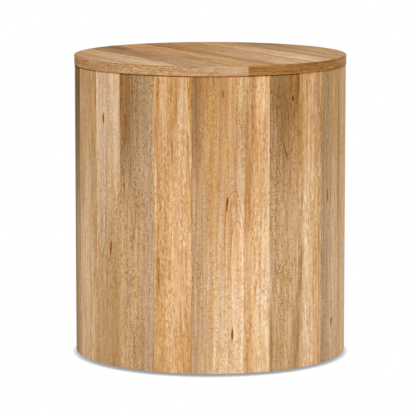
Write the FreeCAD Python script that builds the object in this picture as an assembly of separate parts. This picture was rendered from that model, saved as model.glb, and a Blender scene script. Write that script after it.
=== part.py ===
# A round side table: an upright drum of glued wooden staves under a top of parallel boards.
#
# Lengths are in millimetres. The floor is z = 0 and the drum's axis is Z. The front of the
# table faces -Y. A bearing is an angle round the axis in degrees, 0 at the front and growing
# towards +X. The top's boards run along one direction in plan, and lie side by side across it.

import FreeCAD
import Part
import math
import os

Vector = FreeCAD.Vector
UP = Vector(0, 0, 1)
AXIS_FOOT = Vector(0, 0, 0)
FULL_TURN = 360.0

# Overall size
drum_diameter = 457.0
overall_height = 508.0

# Drum. A stave has a round face, a flat back and mitred edges. Its thickness is measured at
# the middle of the back. A rabbet inside each end of the drum takes a ring frame.
stave_thickness = 16.0
rabbet_depth = 5.0
seam_ease = 0.3
drum_end_arris = 0.8
first_seam_bearing = -71.8
stave_width_shares = [
    16.7, 14.9, 16.2, 16.5, 21.5, 11.0, 14.5, 13.7, 14.8, 16.0, 18.2, 12.6,
    15.5, 20.3, 13.4, 16.8, 14.3, 17.9, 12.0, 15.7, 19.0, 13.1, 15.4,
]

# Top. The boards make a disc, and a thin lipping is bent round its edge.
top_thickness = 16.0
top_overhang = 0.7
lipping_thickness = 1.6
lipping_round = 1.2
lipping_arris = 0.6
lipping_count = 3
lipping_seam_bearing = 15.6
lipping_round_limit_share = 0.9
board_seam_ease = 0.25
board_direction = -62.0
board_width_shares = [7.0, 13.5, 14.5, 12.5, 18.0, 13.5, 12.5, 8.5]

# The glue line between round faces: ring and rabbet, lipping and boards
glue_gap = 0.1

# Ring frames, one in each end of the drum
ring_height = 18.0
ring_width = 45.0
ring_segment_count = 6
ring_seam_bearing = 21.0

# Battens, across the underside of the top's boards inside the upper ring
batten_width = 45.0
batten_thickness = 16.0
batten_spacing = 170.0
batten_end_gap = 4.0
batten_end_bevel = 8.0
batten_screw_margin = 12.0

# Glides, the feet under the lower ring
glide_count = 4
glide_bearing = 45.0
glide_radius = 11.0
glide_height = 4.5
glide_edge = 0.8
glide_screw_recess = 1.1

# Countersunk wood screws
screw_shank_radius = 2.0
screw_head_radius = 3.9
screw_head_height = 2.2
screw_tip_length = 4.0
screw_tip_radius = 0.4
screw_slot_width = 1.0
screw_slot_count = 2
screw_slot_span = 4.4
screw_slot_depth = 1.2
screw_hole_gap = 0.3
screw_pilot_gap = 0.05
screw_pilot_spare = 0.8
top_screw_bite = 11.0
glide_screw_bite = 12.0
top_screws_per_segment = 2

# How far a cutter runs past the face that it cuts
overrun = 2.0

# Places worked out from the sizes
drum_radius = drum_diameter / 2
drum_bottom = glide_height
top_bottom = overall_height - top_thickness
drum_height = top_bottom - drum_bottom
stave_back_radius = drum_radius - stave_thickness
rabbet_radius = stave_back_radius + rabbet_depth
ring_outer_radius = rabbet_radius - glue_gap
ring_inner_radius = ring_outer_radius - ring_width
ring_middle_radius = (ring_outer_radius + ring_inner_radius) / 2
top_radius = drum_radius + top_overhang
lipping_inner_radius = top_radius - lipping_thickness
board_disc_radius = lipping_inner_radius - glue_gap


def bearing_point(radius, bearing, z):
    """The point at a radius and bearing about the drum's axis."""
    angle = math.radians(bearing)
    return Vector(radius * math.sin(angle), -radius * math.cos(angle), z)


def outline_face(points):
    """A flat face inside straight lines through the points."""
    return Part.Face(Part.makePolygon(points + points[:1]))


def section_face(pairs):
    """A flat face in the XZ plane from (radius, height) pairs."""
    return outline_face([Vector(radius, 0, z) for radius, z in pairs])


def turned(face, sweep=FULL_TURN):
    """The solid that a section in the XZ plane sweeps about the Z axis."""
    return face.revolve(AXIS_FOOT, UP, sweep)


def swept_between(face, start, end):
    """The arc of a turned section that lies between two bearings."""
    quarter = FULL_TURN / 4
    arc = turned(face, end - start)
    arc.rotate(AXIS_FOOT, UP, start - quarter)
    return arc


def spans(shares, low, high):
    """Splits the stretch from low to high into neighbouring spans, by shares."""
    scale = (high - low) / sum(shares)
    found = []
    start = low
    for share in shares:
        end = start + share * scale
        found.append((start, end))
        start = end
    return found


def even_spans(count, start):
    """Splits a full turn from a start bearing into equal spans."""
    return spans([1] * count, start, start + FULL_TURN)


def save(name, shapes):
    """Writes one node: the solids of one piece, or of a set of identical pieces."""
    solids = [solid for shape in shapes for solid in shape.Solids]
    body = solids[0] if len(solids) == 1 else Part.makeCompound(solids)
    body.exportStep(os.path.join("parts", name + ".step"))
    volume = sum(solid.Volume for solid in solids)
    print(f"{name}: {len(solids)} solid(s), {volume / 1000:.1f} cm3, valid {body.isValid()}")


# Screws and the holes that take them

def screw(length, head_point):
    """An upright countersunk screw, its head down, with a cross recess in the head."""
    body_end = length - screw_tip_length
    blank = turned(section_face([
        (0, 0),
        (screw_head_radius, 0),
        (screw_shank_radius, screw_head_height),
        (screw_shank_radius, body_end),
        (screw_tip_radius, length),
        (0, length),
    ]))
    for number in range(screw_slot_count):
        slot = Part.makeBox(
            screw_slot_span, screw_slot_width, screw_slot_depth + overrun,
            Vector(-screw_slot_span / 2, -screw_slot_width / 2, -overrun),
        )
        slot.rotate(AXIS_FOOT, UP, number * FULL_TURN / 4)
        blank = blank.cut(slot)
    blank.translate(head_point)
    return blank


def screw_hole(length, clear_length, head_point):
    """The countersink, clearance hole and pilot hole for a screw, as one cutter."""
    mouth = screw_head_radius + screw_hole_gap
    clear = screw_shank_radius + screw_hole_gap
    pilot = screw_shank_radius + screw_pilot_gap
    hole = turned(section_face([
        (0, -overrun),
        (mouth, -overrun),
        (mouth, 0),
        (clear, screw_head_height),
        (clear, clear_length),
        (pilot, clear_length),
        (pilot, length + screw_pilot_spare),
        (0, length + screw_pilot_spare),
    ]))
    hole.translate(head_point)
    return hole


def drilled(piece, holes):
    """A piece with the holes that reach into it."""
    for hole in holes:
        if piece.BoundBox.intersect(hole.BoundBox):
            piece = piece.cut(hole)
    return piece


# Drum: staves and ring frames

def end_arris_cutter(edge_z, outward):
    """Takes the arris off the drum's outer edge. Outward is 1 at the upper end, -1 at the lower."""
    inner = drum_radius - drum_end_arris - overrun
    outer = drum_radius + overrun
    past = edge_z + outward * overrun
    inside = edge_z - outward * (drum_end_arris + overrun)
    return turned(section_face([(inner, past), (outer, past), (outer, inside)]))


def drum_end_cutters():
    """The rabbets inside the drum's two ends and the arrises outside them."""
    rabbet_height = ring_height + overrun
    lower = Part.makeCylinder(rabbet_radius, rabbet_height, Vector(0, 0, drum_bottom - overrun))
    upper = Part.makeCylinder(rabbet_radius, rabbet_height, Vector(0, 0, top_bottom - ring_height))
    return [lower, upper, end_arris_cutter(drum_bottom, -1), end_arris_cutter(top_bottom, 1)]


def stave(start, end, cutters):
    """One upright board of the drum, between two seam bearings."""
    half_width = math.radians(end - start) / 2
    back_corner = stave_back_radius / math.cos(half_width)
    ease_angle = math.degrees(seam_ease / drum_radius)
    edge_radius = drum_radius - seam_ease
    face_start = bearing_point(drum_radius, start + ease_angle, drum_bottom)
    face_middle = bearing_point(drum_radius, (start + end) / 2, drum_bottom)
    face_end = bearing_point(drum_radius, end - ease_angle, drum_bottom)
    corners = [
        face_end,
        bearing_point(edge_radius, end, drum_bottom),
        bearing_point(back_corner, end, drum_bottom),
        bearing_point(back_corner, start, drum_bottom),
        bearing_point(edge_radius, start, drum_bottom),
        face_start,
    ]
    edges = [Part.LineSegment(a, b).toShape() for a, b in zip(corners, corners[1:])]
    edges.append(Part.Arc(face_start, face_middle, face_end).toShape())
    board = Part.Face(Part.Wire(edges)).extrude(Vector(0, 0, drum_height))
    for cutter in cutters:
        board = board.cut(cutter)
    return board


def ring_segments(bottom, holes):
    """The mitred segments of a ring frame, with the holes of the screws that pass through."""
    section = section_face([
        (ring_inner_radius, bottom),
        (ring_outer_radius, bottom),
        (ring_outer_radius, bottom + ring_height),
        (ring_inner_radius, bottom + ring_height),
    ])
    segments = []
    for start, end in even_spans(ring_segment_count, ring_seam_bearing):
        segments.append(drilled(swept_between(section, start, end), holes))
    return segments


# Top: boards, lipping and battens

def plan_point(across, along, z):
    """A point by its distance across and along the top's boards."""
    turn = math.radians(board_direction)
    x = along * math.cos(turn) - across * math.sin(turn)
    y = along * math.sin(turn) + across * math.cos(turn)
    return Vector(x, y, z)


def bar(section, along_start, along_end):
    """A bar whose (across, height) section runs along the top's boards."""
    face = outline_face([plan_point(across, along_start, z) for across, z in section])
    return face.extrude(plan_point(0, along_end - along_start, 0))


def board_spans():
    """The (across) edges of the top's boards, from the front left to the back right."""
    return spans(board_width_shares, -board_disc_radius, board_disc_radius)


def top_board(number, low, high, holes):
    """One board of the top, cut to the round, with eased upper edges at its seams."""
    last = len(board_width_shares) - 1
    reach = board_disc_radius + overrun
    low_edge = -reach if number == 0 else low
    high_edge = reach if number == last else high
    plank = bar([
        (low_edge, top_bottom),
        (high_edge, top_bottom),
        (high_edge, overall_height - board_seam_ease),
        (high_edge - board_seam_ease, overall_height),
        (low_edge + board_seam_ease, overall_height),
        (low_edge, overall_height - board_seam_ease),
    ], -reach, reach)
    disc = Part.makeCylinder(
        board_disc_radius, top_thickness + 2 * overrun, Vector(0, 0, top_bottom - overrun)
    )
    return drilled(plank.common(disc), holes)


def lipping_section():
    """The lipping's section: square inside, eased below and rounded above on the outside."""
    rounding = min(lipping_round, lipping_thickness * lipping_round_limit_share)
    arris = min(lipping_arris, rounding)
    arc_middle = rounding * (1 - math.sqrt(0.5))
    below = Vector(top_radius, 0, overall_height - rounding)
    beside = Vector(top_radius - rounding, 0, overall_height)
    between = Vector(top_radius - arc_middle, 0, overall_height - arc_middle)
    corners = [
        beside,
        Vector(lipping_inner_radius, 0, overall_height),
        Vector(lipping_inner_radius, 0, top_bottom),
        Vector(top_radius - arris, 0, top_bottom),
        Vector(top_radius, 0, top_bottom + arris),
        below,
    ]
    edges = [Part.LineSegment(a, b).toShape() for a, b in zip(corners, corners[1:])]
    edges.append(Part.Arc(below, between, beside).toShape())
    return Part.Face(Part.Wire(edges))


def batten_half_length():
    """Half a batten's length: it stops short of the upper ring."""
    far_side = batten_spacing / 2 + batten_width / 2
    return math.sqrt(ring_inner_radius**2 - far_side**2) - batten_end_gap


def batten(along, holes):
    """A batten across the boards, its lower corners bevelled, centred at a place along them."""
    half = batten_half_length()
    bottom = top_bottom - batten_thickness
    start = along - batten_width / 2
    end = along + batten_width / 2
    bevelled = bar([
        (-half, top_bottom),
        (-half, bottom + batten_end_bevel),
        (-half + batten_end_bevel, bottom),
        (half - batten_end_bevel, bottom),
        (half, bottom + batten_end_bevel),
        (half, top_bottom),
    ], start, end)
    return drilled(bevelled, holes)


# Glides

def glide(place):
    """A round foot with a recess for its screw, standing at a place on the floor."""
    mouth = screw_head_radius + screw_hole_gap
    clear = screw_shank_radius + screw_hole_gap
    foot = turned(section_face([
        (mouth, 0),
        (glide_radius - glide_edge, 0),
        (glide_radius, glide_edge),
        (glide_radius, glide_height),
        (clear, glide_height),
        (clear, glide_screw_recess + screw_head_height),
        (mouth, glide_screw_recess),
    ]))
    foot.translate(place)
    return foot


# Where the screws go

def top_screw_places():
    """The screw heads under the upper ring, evenly spaced along each of its segments."""
    places = []
    for start, end in even_spans(ring_segment_count, ring_seam_bearing):
        for low, high in spans([1] * top_screws_per_segment, start, end):
            bearing = (low + high) / 2
            places.append(bearing_point(ring_middle_radius, bearing, top_bottom - ring_height))
    return places


def batten_screw_places(along):
    """The screw heads under a batten, one at the middle of each board that it fully crosses."""
    limit = batten_half_length() - batten_end_bevel - batten_screw_margin
    middles = [(low + high) / 2 for low, high in board_spans()]
    bottom = top_bottom - batten_thickness
    return [plan_point(across, along, bottom) for across in middles if abs(across) <= limit]


def glide_places():
    """The middles of the glides' lower faces."""
    turns = even_spans(glide_count, glide_bearing)
    return [bearing_point(ring_middle_radius, start, 0) for start, end in turns]


def main():
    os.makedirs("parts", exist_ok=True)

    top_length = ring_height + top_screw_bite
    top_places = top_screw_places()
    top_holes = [screw_hole(top_length, ring_height, place) for place in top_places]

    batten_length = batten_thickness + top_screw_bite
    batten_alongs = [-batten_spacing / 2, batten_spacing / 2]
    batten_places = [place for along in batten_alongs for place in batten_screw_places(along)]
    batten_holes = [
        screw_hole(batten_length, batten_thickness, place) for place in batten_places
    ]

    glide_clear = glide_height - glide_screw_recess
    glide_length = glide_clear + glide_screw_bite
    head_lift = Vector(0, 0, glide_screw_recess)
    feet = glide_places()
    glide_holes = [screw_hole(glide_length, glide_clear, place + head_lift) for place in feet]

    cutters = drum_end_cutters()
    seams = spans(stave_width_shares, first_seam_bearing, first_seam_bearing + FULL_TURN)
    for number, (start, end) in enumerate(seams, 1):
        save(f"stave_{number:02d}", [stave(start, end, cutters)])

    for number, segment in enumerate(ring_segments(drum_bottom, glide_holes), 1):
        save(f"lower_ring_segment_{number}", [segment])
    upper_bottom = top_bottom - ring_height
    for number, segment in enumerate(ring_segments(upper_bottom, top_holes), 1):
        save(f"upper_ring_segment_{number}", [segment])

    for number, (low, high) in enumerate(board_spans()):
        board = top_board(number, low, high, top_holes + batten_holes)
        save(f"top_board_{number + 1}", [board])
    section = lipping_section()
    for number, (start, end) in enumerate(even_spans(lipping_count, lipping_seam_bearing), 1):
        save(f"top_lipping_{number}", [swept_between(section, start, end)])
    for number, along in enumerate(batten_alongs, 1):
        save(f"top_batten_{number}", [batten(along, batten_holes)])

    for number, place in enumerate(feet, 1):
        save(f"glide_{number}", [glide(place)])
    save("top_screws", [screw(top_length, place) for place in top_places])
    save("batten_screws", [screw(batten_length, place) for place in batten_places])
    save("glide_screws", [screw(glide_length, place + head_lift) for place in feet])


main()
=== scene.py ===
# %% [markdown]
# # A drum side table in mango wood
#
# The table is a cooper's piece: upright staves are glued edge to edge into a drum, a round
# top of parallel boards lies on it, and a thin lipping is bent round the top's edge. Nothing
# on it is turned from one block, so nothing here is either. Each stave, board and lipping is
# a piece of its own, with its own strip of grain, and the lesson follows that order: sizes,
# camera, wood, staves, lipping, top, the hidden parts below, and last the studio.
#
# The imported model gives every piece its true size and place. We load it first and keep its
# box, to compare the finished table with it at the end.

import math

import bpy
from mathutils import Matrix, Vector


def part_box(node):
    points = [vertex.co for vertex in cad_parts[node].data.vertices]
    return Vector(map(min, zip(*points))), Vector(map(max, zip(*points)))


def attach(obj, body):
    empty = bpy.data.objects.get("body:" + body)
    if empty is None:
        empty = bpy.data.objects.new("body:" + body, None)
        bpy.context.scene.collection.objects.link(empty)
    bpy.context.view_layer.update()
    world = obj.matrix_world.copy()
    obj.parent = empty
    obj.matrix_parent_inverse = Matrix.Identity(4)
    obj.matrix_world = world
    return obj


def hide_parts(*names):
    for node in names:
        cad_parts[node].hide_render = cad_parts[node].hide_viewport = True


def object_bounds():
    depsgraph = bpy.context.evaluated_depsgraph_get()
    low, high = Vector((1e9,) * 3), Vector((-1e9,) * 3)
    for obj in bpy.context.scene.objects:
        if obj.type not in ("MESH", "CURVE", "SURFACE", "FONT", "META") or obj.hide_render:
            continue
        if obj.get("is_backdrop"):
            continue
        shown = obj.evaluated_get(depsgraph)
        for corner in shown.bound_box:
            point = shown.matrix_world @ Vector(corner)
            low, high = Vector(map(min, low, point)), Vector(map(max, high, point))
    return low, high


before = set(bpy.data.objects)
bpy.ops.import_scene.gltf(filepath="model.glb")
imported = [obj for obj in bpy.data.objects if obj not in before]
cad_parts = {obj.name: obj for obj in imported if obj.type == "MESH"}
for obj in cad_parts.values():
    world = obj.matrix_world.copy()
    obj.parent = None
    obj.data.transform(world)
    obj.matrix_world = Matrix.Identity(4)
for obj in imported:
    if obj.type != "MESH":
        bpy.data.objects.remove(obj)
model_box = [list(corner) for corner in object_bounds()]
print("pieces in the model:", len(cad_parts))
print("box in mm:", [[round(v * 1000, 1) for v in corner] for corner in model_box])

# %% [markdown]
# ## Sizes
#
# The sizes are measured on the model rather than typed again, so that they cannot drift
# apart. The finer lipping is made a hair smaller than the model's, which is drawn with
# straight facets, so that it stays inside the model's box.

# %% Measure the drum and its top
MM = 0.001
HAIR = 0.02 * MM

stave_low, stave_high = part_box("stave_05")
ring_low, ring_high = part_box("lower_ring_segment_1")
drum_bottom = stave_low.z
drum_top = stave_high.z
table_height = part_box("top_board_5")[1].z
ring_height = ring_high.z - ring_low.z
drum_radius = -stave_low.y
lipping_radius = max(-model_box[0][0], model_box[1][0]) - HAIR
print(f"drum {2 * drum_radius / MM:.1f} mm wide")
print(f"staves from {drum_bottom / MM:.1f} to {drum_top / MM:.1f} mm")
print(f"top {2 * lipping_radius / MM:.1f} mm wide, its face at {table_height / MM:.1f} mm")

# %% [markdown]
# ## The camera
#
# The table was photographed with a long lens from well back and a little above, which keeps
# the drum's sides nearly upright and the top's ellipse thin. A long lens far away and a short
# lens close by can frame the same table, but only the long one gives that flat, calm look.
# The distances are in drum radii, so they hold at any size.

# %% Place the camera
FILM, LENS = 36.0, 244.0  # mm
BACK, UP = 20.7444, 4.0863  # drum radii in front of the axis and above the drum's foot
LOOKS_DOWN = 8.3209  # degrees
TURNS_LEFT = 0.0008  # radians
FAR_END = 60.0  # metres

camera_data = bpy.data.cameras.new("studio_camera")
camera_data.sensor_width, camera_data.lens = FILM, LENS
camera_data.clip_end = FAR_END
camera = bpy.data.objects.new("studio_camera", camera_data)
camera.location = (0.0, -BACK * drum_radius, UP * drum_radius + drum_bottom)
camera.rotation_euler = (math.radians(90 - LOOKS_DOWN), 0.0, TURNS_LEFT)
bpy.context.scene.collection.objects.link(camera)
bpy.context.scene.camera = camera
print("camera stands", round(camera.location.length, 2), "m away")

# %% [markdown]
# ## Small helpers for node trees
#
# A node tree is a recipe, and written out node by node it gets long. Two helpers carry it.
# A `Wire` is a node's output that can be used in sums: `wire * 2 + 1` adds the two Math nodes,
# and a vector in the sum makes it a Vector Math node. So the growth rings further down read
# like the geometry that they are. `add` makes one node, sets it, wires its inputs and gives
# back the output that was asked for.

# %% Helpers: a wire that can be used in sums
class Wire:
    """A node's output. Sums written with it add nodes to its tree."""

    def __init__(self, socket):
        self.socket = socket

    def calc(self, operation, *others):
        """One sum: on vectors where one takes part, else on numbers."""
        values = (self, *others)
        if any(is_vector(value) for value in values):
            kind, out = "ShaderNodeVectorMath", "Value" if operation == "LENGTH" else "Vector"
        else:
            kind, out = "ShaderNodeMath", "Value"
        return add(self.socket.id_data, kind, dict(enumerate(values)), out, operation=operation)

    def __add__(self, other):
        return self.calc("ADD", other)

    def __sub__(self, other):
        return self.calc("SUBTRACT", other)

    def __rsub__(self, number):
        return self.calc("MULTIPLY", -1.0).calc("ADD", number)

    def __mul__(self, other):
        return self.calc("MULTIPLY", other)

    def __truediv__(self, other):
        return self.calc("DIVIDE", other)

    def __rpow__(self, number):
        inputs = {0: number, 1: self}
        return add(self.socket.id_data, "ShaderNodeMath", inputs, "Value", operation="POWER")

    def __abs__(self):
        return self.calc("ABSOLUTE")


def is_vector(value):
    """Whether a value is a vector: three numbers, or a node's vector output."""
    return isinstance(value, tuple) or isinstance(value, Wire) and value.socket.type == "VECTOR"


print("a Wire can be added, subtracted, multiplied and divided")

# %% Helpers: add a node
def add(tree, kind, inputs=None, out=None, **settings):
    """Makes a node, sets it and wires its inputs. Gives back one output, or else the node."""
    node = tree.nodes.new(kind)
    for name, value in settings.items():
        setattr(node, name, value)
    for key, value in (inputs or {}).items():
        if isinstance(value, Wire):
            tree.links.new(value.socket, node.inputs[key])
        else:
            node.inputs[key].default_value = value
    return node if out is None else Wire(node.outputs[out])


print("add is ready")

# %% [markdown]
# Three more words for the recipe: `remap` carries a value from one range to another, and
# `split` and `join` take a vector apart and put it together.

# %% Helpers: remap, split and join
def remap(value, low, high, to_low=0.0, to_high=1.0, smooth=False):
    """Carries a value from one range to another and holds it there."""
    return add(value.socket.id_data, "ShaderNodeMapRange", {
        "Value": value, "From Min": low, "From Max": high, "To Min": to_low, "To Max": to_high},
        "Result", interpolation_type="SMOOTHSTEP" if smooth else "LINEAR")


def split(vector):
    """The three numbers of a vector."""
    node = add(vector.socket.id_data, "ShaderNodeSeparateXYZ", {"Vector": vector})
    return [Wire(socket) for socket in node.outputs]


def join(x, y, z):
    """One vector from three numbers."""
    tree = next(v.socket.id_data for v in (x, y, z) if isinstance(v, Wire))
    return add(tree, "ShaderNodeCombineXYZ", {"X": x, "Y": y, "Z": z}, "Vector")


print("remap, split and join are ready")

# %% [markdown]
# A group is a recipe with a name, which other trees can run. Everything here could be written
# out in each material, but then one board's wood would be hundreds of nodes. `open_group`
# declares what a group takes, with the defaults, and what it gives, and `run` puts it to use.

# %% Helpers: groups
def wires(outputs):
    """All outputs of a node, by name."""
    return {socket.name: Wire(socket) for socket in outputs if socket.name}


def open_group(name, kind, takes, gives):
    """Starts a group. Each input has a default, or the name of its kind where it has none."""
    group = bpy.data.node_groups.new(name, kind)
    kinds = {float: "Float", int: "Int"}
    for side, wanted in (("INPUT", takes), ("OUTPUT", gives)):
        for label, given in wanted.items():
            socket = f"NodeSocket{kinds.get(type(given), given)}"
            made = group.interface.new_socket(label, in_out=side, socket_type=socket)
            if type(given) in kinds:
                made.default_value = given
    return group, wires(group.nodes.new("NodeGroupInput").outputs)


def run(tree, group, inputs):
    """Runs a group in a tree and gives back its outputs."""
    kind = "ShaderNodeGroup" if tree.bl_idname == "ShaderNodeTree" else "GeometryNodeGroup"
    return wires(add(tree, kind, inputs, node_tree=group).outputs)


print("open_group and run are ready")

# %% [markdown]
# ## The tones of the wood
#
# Mango wood is never one colour. Within one board it runs from honey and straw through rose
# to a greenish grey, and a maker lays unlike boards side by side on purpose. A picture of wood
# would bring its own light and one board's pattern, so the tones get names instead, and every
# board is later described with those names, the way one would describe it at the bench.

# %% A palette of mango tones
TONES = {
    "umber": (122, 88, 50),
    "bark": (152, 110, 66),
    "moss": (164, 130, 90),
    "sage": (182, 148, 108),
    "fawn": (190, 158, 122),
    "clay": (178, 132, 86),
    "toffee": (192, 146, 97),
    "tan": (190, 150, 108),
    "biscuit": (199, 158, 111),
    "wheat": (208, 167, 122),
    "rose": (202, 163, 124),
    "blush": (209, 173, 136),
    "petal": (214, 179, 146),
    "caramel": (160, 110, 58),
    "amber": (196, 146, 88),
    "honey": (208, 161, 109),
    "straw": (222, 177, 127),
    "sand": (216, 178, 136),
    "peach": (226, 188, 150),
    "cream": (232, 194, 149),
    "shell": (238, 203, 164),
    "ivory": (247, 211, 170),
    "oak": (173, 126, 78),
    "ginger": (188, 136, 77),
    "gold": (212, 159, 102),
    "corn": (231, 186, 137),
    "gum": (132, 62, 34),
    "knot": (86, 56, 46),
}


def linear(rgb):
    """Turns a colour as a screen shows it (0 to 255) into the light that Blender works in."""
    found = []
    for value in rgb:
        share = value / 255
        found.append(share / 12.92 if share <= 0.04045 else ((share + 0.055) / 1.055) ** 2.4)
    return (*found, 1.0)


print(len(TONES), "tones")

# %% [markdown]
# ## How mango grows
#
# A flat pattern could be laid on each face, but it would not meet at the edges. A board is a
# slice through a solid, so its pattern is made in three dimensions: `u` across the board, `v`
# into it and `w` along it. Growth rings are cones about the heart of the tree. Where the
# board's face cuts a cone, the ring shows as a long arch. That gives the cathedral arches for
# nothing, and the end grain agrees with the face.
#
# The group takes what differs from board to board: where its heart lies and how strong each
# kind of grain is. It gives back how much darker the wood is here than its plain tone, how
# much warmer, how far the fibres wander, and the fibres and pores themselves.

# %% The grain group
MM_PER_M = (1000, 1000, 1000)
SEED_STEPS = (173.0, 71.0, 617.0)  # mm that one seed moves the noise

grain, given = open_group("mango_grain", "ShaderNodeTree", {
    "Place": "Vector", "Seed": 1.0,
    "Heart across": 0.0, "Heart depth": 35.0, "Heart height": 100.0, "Taper": 0.01,
    "Ring width": 5.0, "Rings": 0.12, "Ring reach": 20.0,
    "Streaks": 0.75, "Flame": 0.0, "Fibres": 1.0, "Dashes": 1.4, "Speckle": 0.8, "Curl": 0.1,
    "Pore marks": 0.35,
}, dict.fromkeys(("Darkness", "Warmth", "Wander", "Fibre", "Pores"), "Float"))
in_mm = given["Place"] * MM_PER_M
seeded = in_mm + join(*(given["Seed"] * step for step in SEED_STEPS))


def cloud(place, across, along, detail=2.0, roughness=0.5, out="Fac"):
    """Noise about 0, with lumps so many mm across and along. out="Color" gives it as a vector."""
    centre = 0.5 if out == "Fac" else (0.5, 0.5, 0.5)
    return add(grain, "ShaderNodeTexNoise", {
        "Vector": place * (1 / across, 1 / across, 1 / along),
        "Scale": 1.0, "Detail": detail, "Roughness": roughness}, out) - centre


print("grain group opened with", len(grain.interface.items_tree), "sockets")

# %% [markdown]
# No fibre runs quite straight. A slow noise bends the whole board's grain over a hand's
# length, and a quick one adds the small waves. Both push the place sideways before the rings
# are drawn, so every ring bends with its fibres.

# %% Wander
slow_shift = cloud(seeded, 45, 260, out="Color")
quick_shift = cloud(seeded, 9, 60, out="Color")
shift = slow_shift * (10, 6, 0) + quick_shift * (3, 2, 0)
wander = split(shift)[0]
print("wander up to about 8 mm over a board's length")

# %% [markdown]
# A ring's radius is the distance from the heart, and the heart's line leans away from the
# board by the taper. Along that distance a colour ramp draws one year: pale early wood, then
# a dark last third. The years are uneven, so a one-dimensional noise stretches them. Close to
# the heart the rings are clear, and farther out they fade into streaks.

# %% Growth rings: cones about the heart, cut by the board
def hypot(a, b):
    """The long side of a right triangle."""
    return (a * a + b * b).calc("SQRT")


def ramp(value, stops):
    """A colour ramp through (position, colour) stops."""
    node = add(value.socket.id_data, "ShaderNodeValToRGB", {"Fac": value})
    elements = node.color_ramp.elements
    elements[0].position, elements[0].color = stops[0]
    elements[1].position, elements[1].color = stops[-1]
    for position, colour in stops[1:-1]:
        elements.new(position).color = colour
    return Wire(node.outputs["Color"])


PLAIN_WOOD = 0.3  # the ramp's grey that means neither darker nor paler
FAR_RINGS = 0.12  # what is left of the rings beyond their reach
YEAR_CHANGE, YEAR_STRETCH = 0.45, 0.7  # how soon and by how much the years differ in width
SEASONS = ((0.0, PLAIN_WOOD), (0.5, 0.2), (0.64, 0.0), (0.78, 1.0), (0.92, 1.0), (1.0, PLAIN_WOOD))

part_u, part_v, part_w = split(in_mm + shift)
from_heart = part_u - given["Heart across"]
deep = (part_w - given["Heart height"]) * given["Taper"] + (given["Heart depth"] + part_v)
ring_radius = hypot(from_heart, deep.calc("MAXIMUM", 0.5))
years = ring_radius / given["Ring width"]
year_noise = add(grain, "ShaderNodeTexNoise", {
    "W": years * YEAR_CHANGE + given["Seed"], "Scale": 1.0, "Detail": 1.0}, "Fac", noise_dimensions="1D")
years = year_noise * YEAR_STRETCH + years
season = ramp(years.calc("FRACT"), [(stop, (grey, grey, grey, 1.0)) for stop, grey in SEASONS])
reach = given["Ring reach"]
near_heart = remap(ring_radius, reach * 0.7, reach, 1.0, FAR_RINGS, smooth=True)
ring_line = (season - PLAIN_WOOD) * near_heart
ring_band = year_noise - 0.5
print("one ring is dark over about its last third")

# %% [markdown]
# Over the rings lie slower streaks of colour, the flame of interlocked grain (short leaning
# patches, strong in the golden boards), fine fibres, and the short dark dashes of the pores,
# with a round speckle and a curl across the grain where the wood is figured. Each is one
# noise with its own size in mm, stretched far along the board. `busy` lets the small grain
# come and go over patches of a hand's length, as it does in the real wood.

# %% Streaks, flame, fibres, pores and speckle
DARK_GAIN = 0.9  # by how much dark marks grow stronger than pale ones
BAND_SHARE = 0.2  # how strongly a whole year may be darker than the next

streak = cloud(seeded, 4.5, 150, 3, 0.6)
flame = cloud(seeded + quick_shift * (14, 0, 0), 5, 32, 2, 0.6)
fibre = cloud(seeded, 2.0, 34, 2, 0.6)
dash = cloud(seeded, 1.25, 8, 2, 0.6)
speckle = cloud(seeded, 1.3, 2.6, 0)
curl = cloud(seeded + quick_shift, 7, 2.2, 0)
warmth = cloud(seeded, 3.5, 60, 3, 0.6)
busy = remap(cloud(seeded, 16, 110), -0.12, 0.12, 0.5, 1.15, smooth=True)
pores = remap(cloud(seeded, 1.2, 5, 0), 0.14, 0.28) * busy
banded = remap(streak, -0.13, 0.13, -0.22, 0.22, smooth=True)
flames = remap(flame, -0.14, 0.14, -0.25, 0.25, smooth=True)

small = dash * given["Dashes"] + speckle * given["Speckle"] + curl * given["Curl"]
small = small * busy + fibre * given["Fibres"]
small = small * small * DARK_GAIN + small
darkness = ring_line * given["Rings"] + ring_band * BAND_SHARE + small
for amount, strength in ((banded, "Streaks"), (flames, "Flame"), (pores, "Pore marks")):
    darkness = darkness + amount * given[strength]
add(grain, "NodeGroupOutput", {
    "Darkness": darkness, "Warmth": warmth, "Wander": wander, "Fibre": fibre, "Pores": pores})
print("grain group has", len(grain.nodes), "nodes")

# %% [markdown]
# ## Gum flecks, knots and single streaks
#
# Here and there a board has a short dark red fleck, where gum once filled a split in the
# living tree. A fleck is a ragged, slightly tilted ellipse. Each one is placed one by one on its
# board, because that is where the eye goes first. The same shape, drawn long and faint in
# another tone, makes the single pale or dark streaks that give a board its character.

# %% The fleck group
RAGGED = 0.7  # how far the edge of a fleck strays
FLECK_EDGE = (1.5, 1.05)  # where a fleck begins and where it is full

fleck, given = open_group("gum_fleck", "ShaderNodeTree", {
    "Place": "Vector", "Across": 0.0, "Height": 0.0,
    "Half width": 1.2, "Half length": 9.0, "Tilt": 0.03,
}, {"Fleck": "Float"})
u_mm, _, w_mm = split(given["Place"] * MM_PER_M)
up = w_mm - given["Height"]
aside = u_mm - given["Across"] - up * given["Tilt"]
ragged = add(fleck, "ShaderNodeTexNoise", {
    "Vector": given["Place"] * (900, 900, 160), "Scale": 1.0, "Detail": 2.0}, "Fac")
distance = join(aside / given["Half width"], up / given["Half length"], 0.0).calc("LENGTH")
distance = ragged * RAGGED + distance
add(fleck, "NodeGroupOutput", {"Fleck": remap(distance, *FLECK_EDGE, smooth=True)})
print("fleck group has", len(fleck.nodes), "nodes")
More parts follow.
